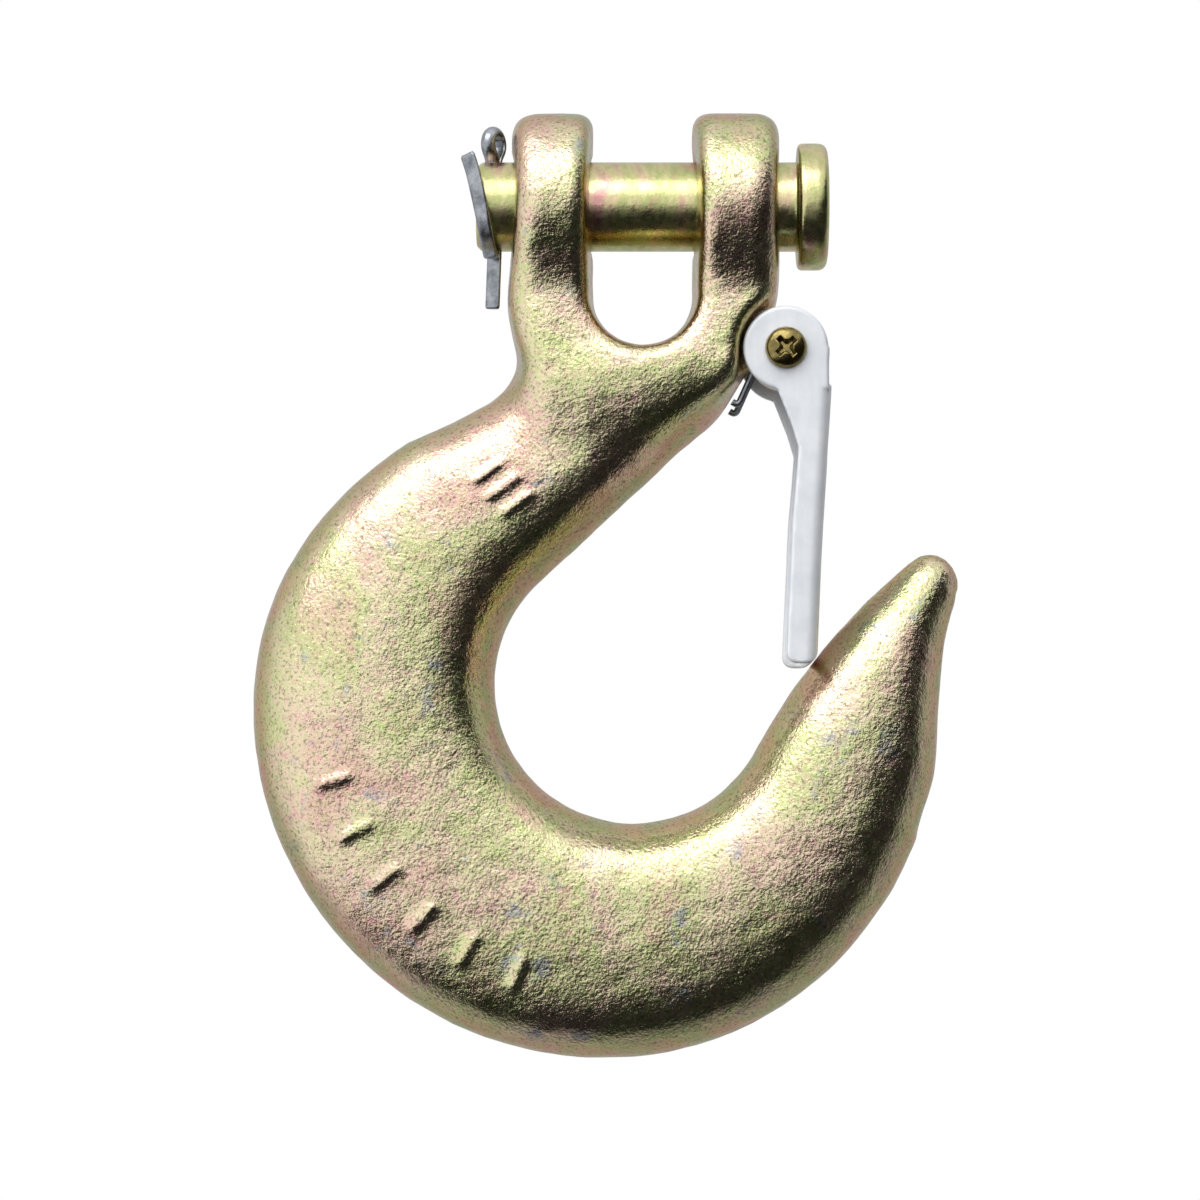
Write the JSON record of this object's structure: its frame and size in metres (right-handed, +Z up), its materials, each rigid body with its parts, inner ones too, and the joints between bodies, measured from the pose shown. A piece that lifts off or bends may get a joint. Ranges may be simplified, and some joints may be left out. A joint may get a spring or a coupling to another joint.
{
  "type": "safety chain hook",
  "caption": "Forged clevis slip hook with a load pin, cotter and sprung sheet-metal latch, for the end of a trailer safety chain.",
  "frame": {"origin": "on the clevis pin's axis, midway between the ears, where the chain's last link sits", "axes": "+Z up with the hook hanging as in use, +X along the clevis pin toward its head, +Y toward the latch screw's nut"},
  "size_m": [0.1255, 0.0332, 0.1677],
  "materials": {
    "forging": "shot-blasted forging, yellow chromate over zinc",
    "plated_pin": "turned steel, yellow chromate over zinc",
    "wire": "drawn steel wire, clear zinc",
    "latch_sheet": "pressed steel sheet, clear zinc",
    "small_fasteners": "yellow chromate over zinc",
    "nylon": "natural nylon",
    "spring_wire": "hard-drawn spring wire"
  },
  "bodies": {
    "hook": {"hook_body": "forging", "latch_screw": "small_fasteners", "latch_nut": "small_fasteners", "nut_insert": "nylon", "latch_spring": "spring_wire"},
    "load_pin": {"clevis_pin": "plated_pin", "cotter_pin": "wire"},
    "latch": {"latch": "latch_sheet"}
  },
  "joints": [
    {"name": "latch_swing", "type": "hinge", "parent": "hook", "child": "latch", "pos_m": [0.0251, 0, -0.0265], "axis": [0, 1, 0], "range_deg": [0, 44], "stiffness_Nm_per_rad": 0.06, "springref_deg": -57.3, "deforming": ["latch_spring"]},
    {"name": "pin_spin", "type": "hinge", "parent": "hook", "child": "load_pin", "pos_m": [0, 0, 0], "axis": [1, 0, 0], "continuous": true}
  ]
}
